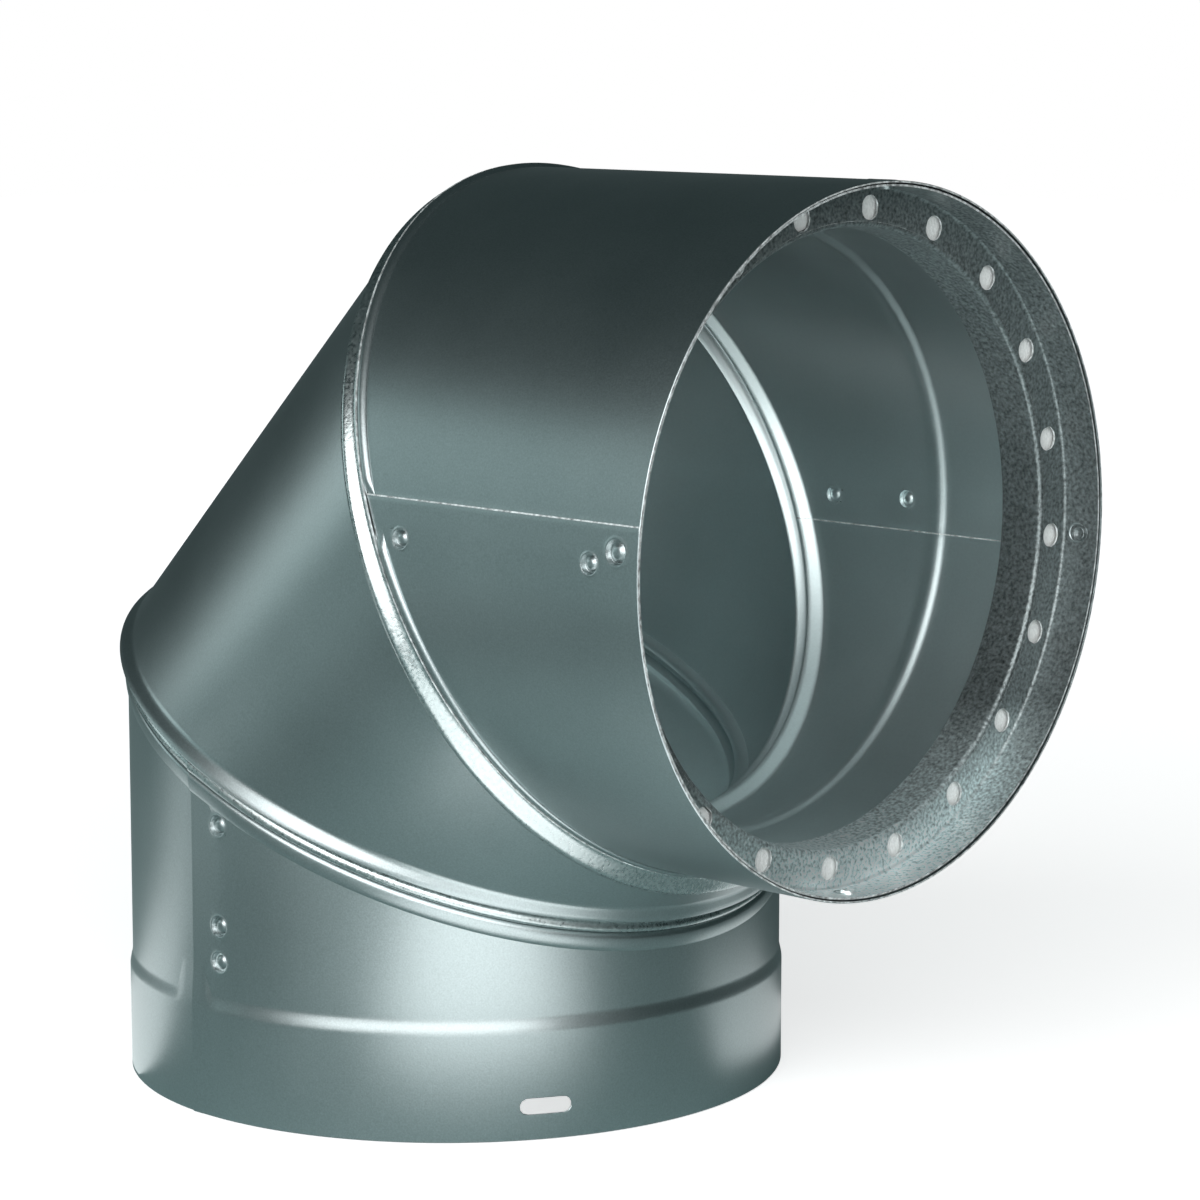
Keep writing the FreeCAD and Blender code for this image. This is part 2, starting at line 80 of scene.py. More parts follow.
@dataclass(frozen=True)
class Lengths:
    """Sizes of the elbow in millimetres, as in its sheet of sizes.

    Args:
        shell, sheet: outer radius and thickness of the two collars.
        middle, band: outer radius of the middle gore and of the slip-on band.
        liner, liner_sheet: outer radius and thickness of the liner.
        female, male: outer radius of the liner's widened and drawn-in ends.
        lower, between, upper: length on the axis of each gore.
        setback: how much nearer to the bend the liner's mitres lie.
        liner_end, liner_seat: where the liner ends, from the lower rim and from the mouth.
    """

    shell: float = 87.3
    sheet: float = 0.5
    middle: float = 88.1
    band: float = 88.0
    liner: float = 76.6
    liner_sheet: float = 0.4
    female: float = 77.1
    male: float = 75.7
    lower: float = 89.5
    between: float = 90.0
    upper: float = 85.0
    setback: float = 11.5
    liner_end: float = 11.0
    liner_seat: float = 13.3

    @property
    def mouth(self) -> float:
        """X of the mouth's rim, read from the frame."""
        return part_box("shell_upper")[1].x / MM

    @property
    def axis(self) -> float:
        """Z of the upper collar's axis, read from the frame."""
        low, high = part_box("vent_ring")
        return 0.5 * (low.z + high.z) / MM


SIZE = Lengths()


def ease(value: float) -> float:
    """Smooth step from 0 to 1."""
    t = min(max(value, 0.0), 1.0)
    return t * t * (3.0 - 2.0 * t)


def turn_between(start: float, end: float) -> float:
    """Signed angle in degrees from start to end, between -180 and 180."""
    return (end - start + 180.0) % 360.0 - 180.0


@dataclass(frozen=True)
class Ring:
    """One line of points round a gore.

    Args:
        where: what the ring keeps its distance from.
        at: that distance along the axis, in millimetres.
        radius: outer radius without the bead.
        inner: inner radius.
        rise: height of a bead on the outer side.
        groove: how far a bead stands out of the inner side, below zero towards the axis.
        coat: finish of the faces up to the next ring.
        back: how much further along the axis the outer point lies.
        soft: how much further along the axis it lies where a step is drawn out.
    """

    where: Where
    at: float
    radius: float
    inner: float
    rise: float = 0.0
    groove: float = 0.0
    coat: Coat = Coat.SHEET
    back: float = 0.0
    soft: float = 0.0

    def height(self, length: float, radius: float, angle: float) -> float:
        """Height on the axis at a radius and an angle in degrees, for a gore of this length."""
        lean = LEAN * radius * math.cos(math.radians(angle))
        if self.where is Where.LOW:
            return self.at + lean
        if self.where is Where.HIGH:
            return length - self.at - lean
        return self.at


@dataclass(frozen=True)
class Between:
    """A ring of a plain wall, which has no bead and whose skins lie level, part of the way from one ring to another."""

    first: Ring
    last: Ring
    share: float
    coat: Coat = Coat.SHEET
    rise: float = 0.0
    groove: float = 0.0
    back: float = 0.0

    def mixed(self, start: float, end: float) -> float:
        """A size at this share of the way."""
        return start + self.share * (end - start)

    @property
    def radius(self) -> float:
        """Outer radius."""
        return self.mixed(self.first.radius, self.last.radius)

    @property
    def inner(self) -> float:
        """Inner radius."""
        return self.mixed(self.first.inner, self.last.inner)

    @property
    def soft(self) -> float:
        """Drawn out height."""
        return self.mixed(self.first.soft, self.last.soft)

    def height(self, length: float, radius: float, angle: float) -> float:
        """Height on the axis at a radius and an angle in degrees, for a gore of this length."""
        return self.mixed(self.first.height(length, radius, angle), self.last.height(length, radius, angle))


Line = Ring | Between
Points = list[bmesh.types.BMVert]


def fill(first: Ring, last: Ring, count: int) -> list[Line]:
    """Rings evenly spread from first up to, but not with, last."""
    return [first] + [Between(first, last, i / count) for i in range(1, count)]


def slope(share: float, straight: bool) -> float:
    """Height of a bead's flank, from 1 at its crest to 0 at its foot.

    Args:
        share: place on the flank, 0 at the crest and 1 at the foot.
        straight: true for a flat flank with a small round at each end.

    Returns:
        The height as a share of the crest's.
    """
    if not straight:
        return math.cos(0.5 * math.pi * share)
    bend = 0.16
    steep = 1.0 / (1.0 - bend)
    if share < bend:
        return 1.0 - steep * share * share / (2 * bend)
    if share > 1.0 - bend:
        return steep * (1.0 - share) ** 2 / (2 * bend)
    return 1.0 - steep * (share - 0.5 * bend)


def bead(where: Where, crest: float, away: float, near: float, rise: float, base: tuple[float, float],
         coat: Coat = Coat.SHEET, groove: float = 0.0, count: int = 6, flat: int = 0) -> list[Ring]:
    """Rings over a rounded bead beside a mitre.

    Args:
        where: the mitre that the bead follows.
        crest: distance of the crest from the mitre.
        away: width of the flank on the far side from the mitre.
        near: width of the flank on the mitre's side.
        rise: height of the bead.
        base: outer and inner radius of the wall.
        coat: finish of the bead.
        groove: how far it stands out of the inner side.
        count: number of rings on each flank.
        flat: -1 if the far flank is flat, 1 if the near one is, 0 if both are round.

    Returns:
        The rings in order of falling distance from the mitre.
    """
    rings = []
    for i in range(-count, count + 1):
        straight = flat * i > 0
        share = abs(i) / count
        swell = slope(share, straight)
        part = share if straight else math.sin(0.5 * math.pi * share)
        at = crest + away * part if i < 0 else crest - near * part
        rings.append(Ring(where, at, base[0], base[1], rise * swell, groove * swell, coat))
    return rings


@dataclass(frozen=True)
class Lap:
    """The overlap that closes a gore lengthwise. The covering sheet's edge was never rolled, so it stays flat.

    Args:
        angle: where the free edge of the covering sheet lies.
        side: +1 if the covering sheet lies at larger angles, else -1.
        flat: width of its flat edge, in degrees.
        inside: true if the edge shows on the inner side.
    """

    angle: float
    side: int
    flat: float = 6.6
    inside: bool = False

    def lift(self, angle: float, radius: float) -> float:
        """How far the covering sheet stands off.

        Args:
            angle: where, in degrees.
            radius: radius of the wall.

        Returns:
            The distance from the rolled wall.
        """
        past = self.side * turn_between(self.angle, angle)
        if past < 0.0 or past > self.flat:
            return 0.0
        return 0.5 * radius * math.radians(self.flat - past) ** 2


@dataclass(frozen=True)
class Mark:
    """A clinch pressed into a wall, or a slot or hole cut through it.

    Args:
        angle: its centre round the axis, in degrees.
        height: its centre along the axis.
        steps: (distance from the centre line, depth) of each loop, from outside in.
        core: half length of a slot's straight sides.
        cut: true if it goes through.
    """

    angle: float
    height: float
    steps: tuple[tuple[float, float], ...]
    core: float = 0.0
    cut: bool = False

    def outline(self, direction: float, grow: float) -> tuple[float, float]:
        """Point of the rounded outline.

        Args:
            direction: its direction from the centre.
            grow: distance of the outline from the centre line.

        Returns:
            Its place round and along the axis, from the centre.
        """
        u, v = math.cos(direction), math.sin(direction)
        if self.core == 0.0:
            return grow * u, grow * v
        if abs(v) > 1e-9:
            reach = grow / abs(v)
            if abs(reach * u) <= self.core:
                return reach * u, reach * v
        side = math.copysign(self.core, u)
        b = -u * side
        reach = -b + math.sqrt(max(b * b - side * side + grow * grow, 0.0))
        return reach * u, reach * v


def clinch(angle: float, height: float, radius: float, depth: float) -> Mark:
    """A round clinch: a soft lip, a groove and a low button in the middle.

    Args:
        angle: its centre round the axis, in degrees.
        height: its centre along the axis.
        radius: its radius.
        depth: depth of the groove, below zero for a clinch that stands out.

    Returns:
        The mark.
    """
    profile = ((1.25, 0.0), (1.14, -0.05), (1.05, -0.13), (0.97, -0.06), (0.9, 0.45), (0.82, 0.9), (0.74, 1.0),
               (0.64, 0.86), (0.5, 0.5), (0.34, 0.3), (0.16, 0.24))
    return Mark(angle, height, tuple((radius * far, depth * deep) for far, deep in profile))


def stretch(mesh: bmesh.types.BMesh, loop: Points, places: list[Vector], coat: Coat = Coat.SHEET) -> Points:
    """Extrudes a closed loop of points and moves the new points.

    Args:
        mesh: mesh that holds the loop.
        loop: its points, in order.
        places: where the new points go.
        coat: finish of the new faces.

    Returns:
        The new points, in the loop's order.
    """
    made = bmesh.ops.extrude_edge_only(mesh, edges=edges_of(mesh, loop))["geom"]
    fresh = {item for item in made if isinstance(item, bmesh.types.BMVert)}
    moved = [next(e.other_vert(v) for e in v.link_edges if e.other_vert(v) in fresh) for v in loop]
    for vertex, place in zip(moved, places):
        vertex.co = place
    for item in made:
        if isinstance(item, bmesh.types.BMFace):
            item.material_index = coat.value
    return moved


def edges_of(mesh: bmesh.types.BMesh, loop: Points) -> list[bmesh.types.BMEdge]:
    """Edges of a closed loop of points."""
    return [mesh.edges.get(pair) for pair in zip(loop, loop[1:] + loop[:1])]


def join(mesh: bmesh.types.BMesh, first: Points, second: Points) -> None:
    """Closes the strip between two loops with a cut edge's faces."""
    moved = stretch(mesh, first, [vertex.co.copy() for vertex in second], Coat.EDGE)
    bmesh.ops.weld_verts(mesh, targetmap=dict(zip(moved, second)))


def finished(meshes: Sequence[bmesh.types.BMesh], name: str, place: Matrix) -> bpy.types.Object:
    """Turns meshes built in millimetres into one smooth object in the row's frame.

    Args:
        meshes: the meshes, which are freed.
        name: name of the object.
        place: matrix to the row's frame.

    Returns:
        The linked object.
    """
    data = bpy.data.meshes.new(name)
    whole = bmesh.new()
    for mesh in meshes:
        mesh.to_mesh(data)
        mesh.free()
        whole.from_mesh(data)
    bmesh.ops.transform(whole, matrix=place, verts=whole.verts)
    bmesh.ops.recalc_face_normals(whole, faces=whole.faces)
    for face in whole.faces:
        face.smooth = True
    for edge in whole.edges:
        edge.smooth = edge.calc_face_angle(0.0) < SHARP
    whole.to_mesh(data)
    whole.free()
    shown = bpy.data.objects.new(name, data)
    bpy.context.scene.collection.objects.link(shown)
    return shown


@dataclass
class Gore:
    """One rolled and mitred piece of tube, built as a closed sheet with two skins.

    Args:
        name: name of the finished object.
        node: the CAD node that it stands for.
        length: length on the axis.
        place: matrix from the gore's own frame, in millimetres, to the row's frame.
        rings: its lines of points from one end to the other.
        laps: its lengthwise overlaps.
        marks: clinches and slots.
        gap: start and end of the stretch, in degrees, in which the beads are flattened.
        drawn: start and end of the stretch, in degrees, in which a step is drawn out lengthwise.
        phase: start of the gentle waves of the rolled sheet.
        wave: height of those waves.
        pitch: distance between columns of points.
        heel: share of the beads' height that is lost on the side away from the bend.
        coated_inside: true if the rings' finishes are those of the inner side.
        columns: angles of the columns, set when it is built.
        seams: columns at which a lap's cut edge starts, set when it is built.
    """

    name: str
    node: str
    length: float
    place: Matrix
    rings: list[Line]
    laps: tuple[Lap, ...] = ()
    marks: tuple[Mark, ...] = ()
    gap: tuple[float, float] | None = None
    drawn: tuple[float, float] = (0.0, 0.0)
    phase: float = 0.0
    wave: float = 0.05
    pitch: float = 1.5
    heel: float = 0.0
    coated_inside: bool = False
    columns: list[float] = field(default_factory=list)
    seams: list[tuple[float, bool]] = field(default_factory=list)

    def coat(self, ring: Line, angle: float, inside: bool) -> Coat:
        """Finish of a face.

        Args:
            ring: the ring at which it starts.
            angle: the column at which it starts.
            inside: true on the inner skin.

        Returns:
            The finish.
        """
        if any(abs(seam - angle) < 1e-6 and shown is inside for seam, shown in self.seams):
            return Coat.EDGE
        return ring.coat if inside is self.coated_inside else Coat.SHEET

    def gain(self, angle: float) -> float:
        """Share of the beads' height that is left at an angle."""
        full = 1.0 - self.heel * ease((abs(angle) - HEEL_START) / HEEL_FADE)
        if self.gap is None:
            return full
        middle = 0.5 * (self.gap[0] + self.gap[1])
        half = 0.5 * abs(self.gap[1] - self.gap[0])
        return full * ease((abs(turn_between(middle, angle)) - half) / GAP_FADE)

    def lift(self, angle: float, height: float, inside: bool) -> float:
        """Radial offset of the wall from laps and from waves of the sheet.

        Args:
            angle: where round the axis, in degrees.
            height: where along the axis.
            inside: true on the inner skin.

        Returns:
            The offset, above zero away from the axis.
        """
        turn = math.radians(angle)
        waves = math.sin(3 * turn + 0.031 * height + self.phase) + math.sin(5 * turn - 0.045 * height + 2 * self.phase)
        offset = 0.5 * self.wave * (waves - 2.0)
        for lap in self.laps:
            if lap.inside == inside:
                stand = lap.lift(angle, self.rings[0].radius)
                offset += -stand if inside else stand
        return offset

    def raised(self, ring: Line, radius: float, angle: float) -> float:
        """Height of a ring on the axis at an angle, with a step that is drawn out."""
        middle = 0.5 * (self.drawn[0] + self.drawn[1])
        half = 0.5 * abs(self.drawn[1] - self.drawn[0])
        share = 0.0 if half == 0.0 else 1.0 - ease((abs(turn_between(middle, angle)) - half) / STEP_FADE)
        return ring.height(self.length, radius, angle) + ring.soft * share

    def point(self, ring: Line, angle: float, inside: bool) -> Vector:
        """Place of a ring's point on one skin, in the gore's frame."""
        if inside:
            radius = ring.inner + ring.groove * self.gain(angle)
        else:
            radius = ring.radius + ring.rise * self.gain(angle)
        height = self.raised(ring, radius, angle) + (0.0 if inside else ring.back)
        radius += self.lift(angle, height, inside)
        turn = math.radians(angle)
        return Vector((radius * math.cos(turn), radius * math.sin(turn), height))

    def set_columns(self) -> None:
        """Spreads the columns evenly and adds a close pair at each lap's edge."""
        count = int(2 * math.pi * self.rings[0].radius / self.pitch)
        near = 0.35 * 360.0 / count
        self.seams = []
        angles = [360.0 * i / count - 180.0 for i in range(count)]
        for lap in self.laps:
            angles = [a for a in angles if abs(turn_between(lap.angle, a)) > near]
            sides = sorted((lap.angle, lap.angle - LAP_EDGE * lap.side))
            angles += [turn_between(0.0, side) for side in sides]
            self.seams.append((turn_between(0.0, sides[0]), lap.inside))
        self.columns = sorted(angles)

    def block(self, mark: Mark) -> tuple[int, int, int, int]:
        """Rings and columns that frame a mark: first and last ring, first and last column."""
        margin = (1.2 if mark.cut else 0.1) * self.pitch
        wide = math.degrees((mark.steps[0][0] + mark.core + margin) / self.rings[0].radius)
        tall = mark.steps[0][0] + margin
        inside = [j for j, a in enumerate(self.columns) if abs(turn_between(mark.angle, a)) <= wide]
        first, last = inside[0], inside[-1]
        heights = [self.raised(r, r.radius, mark.angle) for r in self.rings]
        low = max(i for i, h in enumerate(heights) if h <= mark.height - tall)
        high = min(i for i, h in enumerate(heights) if h >= mark.height + tall and i > low)
        return low, high, first, last

    def press(self, mesh: bmesh.types.BMesh, mark: Mark, skin: list[Points], inside: bool,
              frame_of: tuple[int, int, int, int]) -> Points:
        """Opens a block of a skin and draws the mark's loops into it.

        Args:
            mesh: mesh that holds the skin.
            mark: the mark.
            skin: the skin's points, ring by ring.
            inside: true for the inner skin.
            frame_of: the block that frames the mark.

        Returns:
            The innermost loop of points.
        """
        low, high, first, last = frame_of
        path = [(low, j) for j in range(first, last)] + [(i, last) for i in range(low, high)]
        path += [(high, j) for j in range(last, first, -1)] + [(i, first) for i in range(high, low, -1)]
        loop = [skin[i][j] for i, j in path]
        within = [skin[i][j] for i in range(low + 1, high) for j in range(first + 1, last)]
        bmesh.ops.delete(mesh, geom=within, context="VERTS")
        wall = self.rings[low].inner if inside else self.rings[low].radius
        directions = []
        for vertex in loop:
            around = turn_between(mark.angle, math.degrees(math.atan2(vertex.co.y, vertex.co.x)))
            directions.append(math.atan2(vertex.co.z - mark.height, math.radians(around) * wall))
        for grow, depth in mark.steps:
            places = []
            for direction in directions:
                u, v = mark.outline(direction, grow)
                angle = mark.angle + math.degrees(u / wall)
                radius = wall - depth + self.lift(angle, mark.height + v, inside)
                turn = math.radians(angle)
                places.append(Vector((radius * math.cos(turn), radius * math.sin(turn), mark.height + v)))
            loop = stretch(mesh, loop, places)
        if not mark.cut:
            bmesh.ops.contextual_create(mesh, geom=edges_of(mesh, loop), mat_nr=Coat.SHEET.value)
        return loop

    def skin(self, mesh: bmesh.types.BMesh, inside: bool) -> list[Points]:
        """Lays a flat grid round the axis and shapes it ring by ring.

        Args:
            mesh: mesh that takes the skin, with nothing deleted from it so far.
            inside: true for the inner skin.

        Returns:
            Its points, ring by ring. The last column lies on the first one.
        """
        count = len(self.columns)
        verts, faces = len(mesh.verts), len(mesh.faces)
        bmesh.ops.create_grid(mesh, x_segments=count, y_segments=len(self.rings) - 1, size=1.0)
        mesh.verts.ensure_lookup_table()
        mesh.faces.ensure_lookup_table()
        points = mesh.verts[verts:]
        rows = [points[i * (count + 1):(i + 1) * (count + 1)] for i in range(len(self.rings))]
        for ring, row in zip(self.rings, rows):
            for angle, vertex in zip(self.columns, row):
                vertex.co = self.point(ring, angle, inside)
            row[-1].co = row[0].co
        for k, face in enumerate(mesh.faces[faces:]):
            face.material_index = self.coat(self.rings[k // count], self.columns[k % count], inside).value
        return rows

    def mesh(self) -> bmesh.types.BMesh:
        """Makes the gore's closed mesh, in the gore's own frame."""
        self.set_columns()
        mesh = bmesh.new()
        skins = [self.skin(mesh, inside) for inside in (False, True)]
        bmesh.ops.weld_verts(mesh, targetmap={row[-1]: row[0] for skin in skins for row in skin})
        outer, inner = [[row[:-1] for row in skin] for skin in skins]
        for end in (0, -1):
            join(mesh, outer[end], inner[end])
        for mark in self.marks:
            frame_of = self.block(mark)
            front = self.press(mesh, mark, outer, False, frame_of)
            back = self.press(mesh, mark, inner, True, frame_of)
            if mark.cut:
                join(mesh, front, back)
        return mesh

    def build(self) -> bpy.types.Object:
        """Builds the gore's object in the row's frame."""
        return finished([self.mesh()], self.name, self.place)


class Board:
    """The node tree of a material or world."""

    def __init__(self, owner: bpy.types.Material | bpy.types.World) -> None:
        """Empties the owner's node tree and keeps it."""
        owner.use_nodes = True
        self.tree = owner.node_tree
        self.tree.nodes.clear()

    def node(self, kind: str, links: dict[str | int, Any] | None = None, **settings: Any) -> bpy.types.Node:
        """Adds a node.

        Args:
            kind: type of the node.
            links: values or links of its sockets, by name or number.
            settings: its properties, which are set first.

        Returns:
            The node.
        """
        node = self.tree.nodes.new(kind)
        for key, value in settings.items():
            setattr(node, key, value)
        for key, value in (links or {}).items():
            source = value.socket if isinstance(value, Tone) else value
            if isinstance(source, bpy.types.NodeSocket):
                self.tree.links.new(source, node.inputs[key])
            else:
                node.inputs[key].default_value = source
        return node

    def tone(self, output: str, kind: str, links: dict[str | int, Any] | None = None, **settings: Any) -> "Tone":
        """Adds a node and gives one of its outputs as a value."""
        return Tone(self, self.node(kind, links, **settings).outputs[output])

    def scaled(self, color: Sequence[float], share: "Tone") -> bpy.types.NodeSocket:
        """A colour times a value that changes over the surface."""
        node = self.node("ShaderNodeVectorMath", {"Vector": color[:3], "Scale": share}, operation="SCALE")
        return node.outputs["Vector"]


class Tone:
    """A shader value that Python's own operators work on."""

    def __init__(self, board: Board, socket: bpy.types.NodeSocket) -> None:
        """Keeps the board and the socket that gives the value."""
        self.board = board
        self.socket = socket

    def _math(self, operation: str, first: "Tone | float", second: "Tone | float", clamp: bool = False) -> "Tone":
        """Adds a math node for an operation on two values."""
        return self.board.tone("Value", "ShaderNodeMath", {0: first, 1: second}, operation=operation, use_clamp=clamp)

    def __add__(self, other: "Tone | float") -> "Tone":
        """Sum of two values."""
        return self._math("ADD", self, other)

    def __radd__(self, other: float) -> "Tone":
        """Sum of a number and this value."""
        return self._math("ADD", other, self)

    def __sub__(self, other: "Tone | float") -> "Tone":
        """Difference of two values."""
        return self._math("SUBTRACT", self, other)

    def __rsub__(self, other: float) -> "Tone":
        """Difference of a number and this value."""
        return self._math("SUBTRACT", other, self)

    def __mul__(self, other: "Tone | float") -> "Tone":
        """Product of two values."""
        return self._math("MULTIPLY", self, other)

    def __rmul__(self, other: float) -> "Tone":
        """Product of a number and this value."""
        return self._math("MULTIPLY", other, self)

    def clamped(self) -> "Tone":
        """The value kept between 0 and 1."""
        return self._math("ADD", self, 0.0, True)


@dataclass(frozen=True)
class MetalFinish:
    """A sheet metal finish.

    Args:
        name: name of the material.
        color: base colour, linear.
        roughness: mean roughness.
        mottle: how much the colour varies over a few centimetres.
        grain: how much the colour varies over about a millimetre.
        grain_scale: cells per metre of the grain.
        relief: height of the grain in the bump.
        uneven: how much the roughness varies.
        metallic: 1 for bare metal, 0 for a dull pale sheet.
        painted_light_shares: painted light, how bright the colour is made at the foot, half way up and at the top, as
            painted highlight and painted shade.
        painted_light_ramps: where each change of the painted brightness starts, in metres over the floor, and its rate
            per metre.
        broad_scale: cells per metre of the mottle.
        slow_scale: cells per metre of the unevenness in the bump.
    """

    name: str
    color: tuple[float, float, float]
    roughness: float
    mottle: float = 0.08
    grain: float = 0.1
    grain_scale: float = 1500.0
    relief: float = 0.02
    uneven: float = 0.08
    metallic: float = 1.0
    painted_light_shares: tuple[float, float, float] = (1.0, 1.0, 1.0)
    painted_light_ramps: tuple[tuple[float, float], tuple[float, float]] = ((0.07, 28.0), (0.155, 16.0))
    broad_scale: float = 22.0
    slow_scale: float = 9.0

    def build(self) -> bpy.types.Material:
        """Makes the material."""
        material = bpy.data.materials.new(self.name)
        board = Board(material)
        place = board.node("ShaderNodeTexCoord").outputs["Object"]
        broad, fine, slow = (
            board.tone("Fac", "ShaderNodeTexNoise", {"Vector": place, "Scale": scale, "Detail": detail})
            for scale, detail in ((self.broad_scale, 3.0), (self.grain_scale, 2.0), (self.slow_scale, 1.0)))
        height = board.tone("Z", "ShaderNodeSeparateXYZ", {"Vector": place})
        # Painted light: the colour is made brighter or darker by height over the floor, as painted highlight and
        # painted shade; mottle and grain are the sheet's own tone.
        foot, half, top = self.painted_light_shares
        (low, low_rate), (high, high_rate) = self.painted_light_ramps
        share = foot + (half - foot) * (low_rate * (height - low)).clamped()
        share = share + (top - half) * (high_rate * (height - high)).clamped()
        painted_light_and_grain = share * (1.0 + 2.0 * self.mottle * (broad - 0.5) + 2.0 * self.grain * (fine - 0.5))
        rough = self.roughness + self.uneven * (broad + fine - 1.0)
        bump = board.node("ShaderNodeBump", {"Height": self.relief * fine + 0.6 * slow, "Strength": 1.0,
                                             "Distance": MM})
        metal = board.node("ShaderNodeBsdfPrincipled", {
            "Base Color": board.scaled(self.color, painted_light_and_grain), "Metallic": self.metallic, "Roughness": rough,
            "Normal": bump.outputs[0]})
        board.node("ShaderNodeOutputMaterial", {"Surface": metal.outputs[0]})
        return material


SHEET = MetalFinish("satin_sheet", (0.405, 0.455, 0.46), 0.34, 0.08, 0.22, 2300.0)
SPANGLE = MetalFinish("galvanised_bead", (0.5, 0.55, 0.55), 0.3, 0.1, 0.35, 1100.0, 0.05, 0.3)
EDGE = MetalFinish("cut_edge", (0.6, 0.63, 0.63), 0.45, 0.25, 1.5, 600.0, 0.1, 0.2, 0.35)
# Painted shade: the liner's colour is brighter towards the foot and much darker at the top, inside the mouth.
LINER = MetalFinish("liner_sheet", (0.6, 0.68, 0.685), 0.42, 0.12, 0.06, 1500.0, 0.01, painted_light_shares=(1.4, 1.3, 0.4))
# Painted light: the ring's colour is much brighter at its foot, a painted highlight, and darker higher up, painted
# shade.
RING = MetalFinish("galvanised_ring", (0.5, 0.57, 0.575), 0.42, 0.12, 1.1, 1100.0, 0.15, 0.25, 0.8, (1.95, 0.4, 0.55))
# Painted light: a pale, non-metal sheet behind the vent holes stands in for the light seen through them.
PAINTED_HOLE_LIGHT = MetalFinish("painted_hole_light", (0.86, 0.88, 0.87), 0.8, 0.03, 0.15, 1200.0, 0.2, 0.05, 0.0)


def upright() -> Matrix:
    """Frame of the lower collar and lower liner."""
    return Matrix.Scale(MM, 4)


def slanted(foot: Vector) -> Matrix:
    """Frame of a middle gore whose lower mitre lies at foot, in millimetres."""
    return Matrix.Scale(MM, 4) @ Matrix.Translation(foot) @ Matrix.Rotation(2 * MITRE, 4, "Y")


def level() -> Matrix:
    """Frame of the upper collar and upper liner, with the mouth's rim at its foot."""
    columns = Matrix(((0, 0, -1, 0), (0, -1, 0, 0), (-1, 0, 0, 0), (0, 0, 0, 1)))
    return Matrix.Scale(MM, 4) @ Matrix.Translation(Vector((SIZE.mouth, 0, SIZE.axis))) @ columns


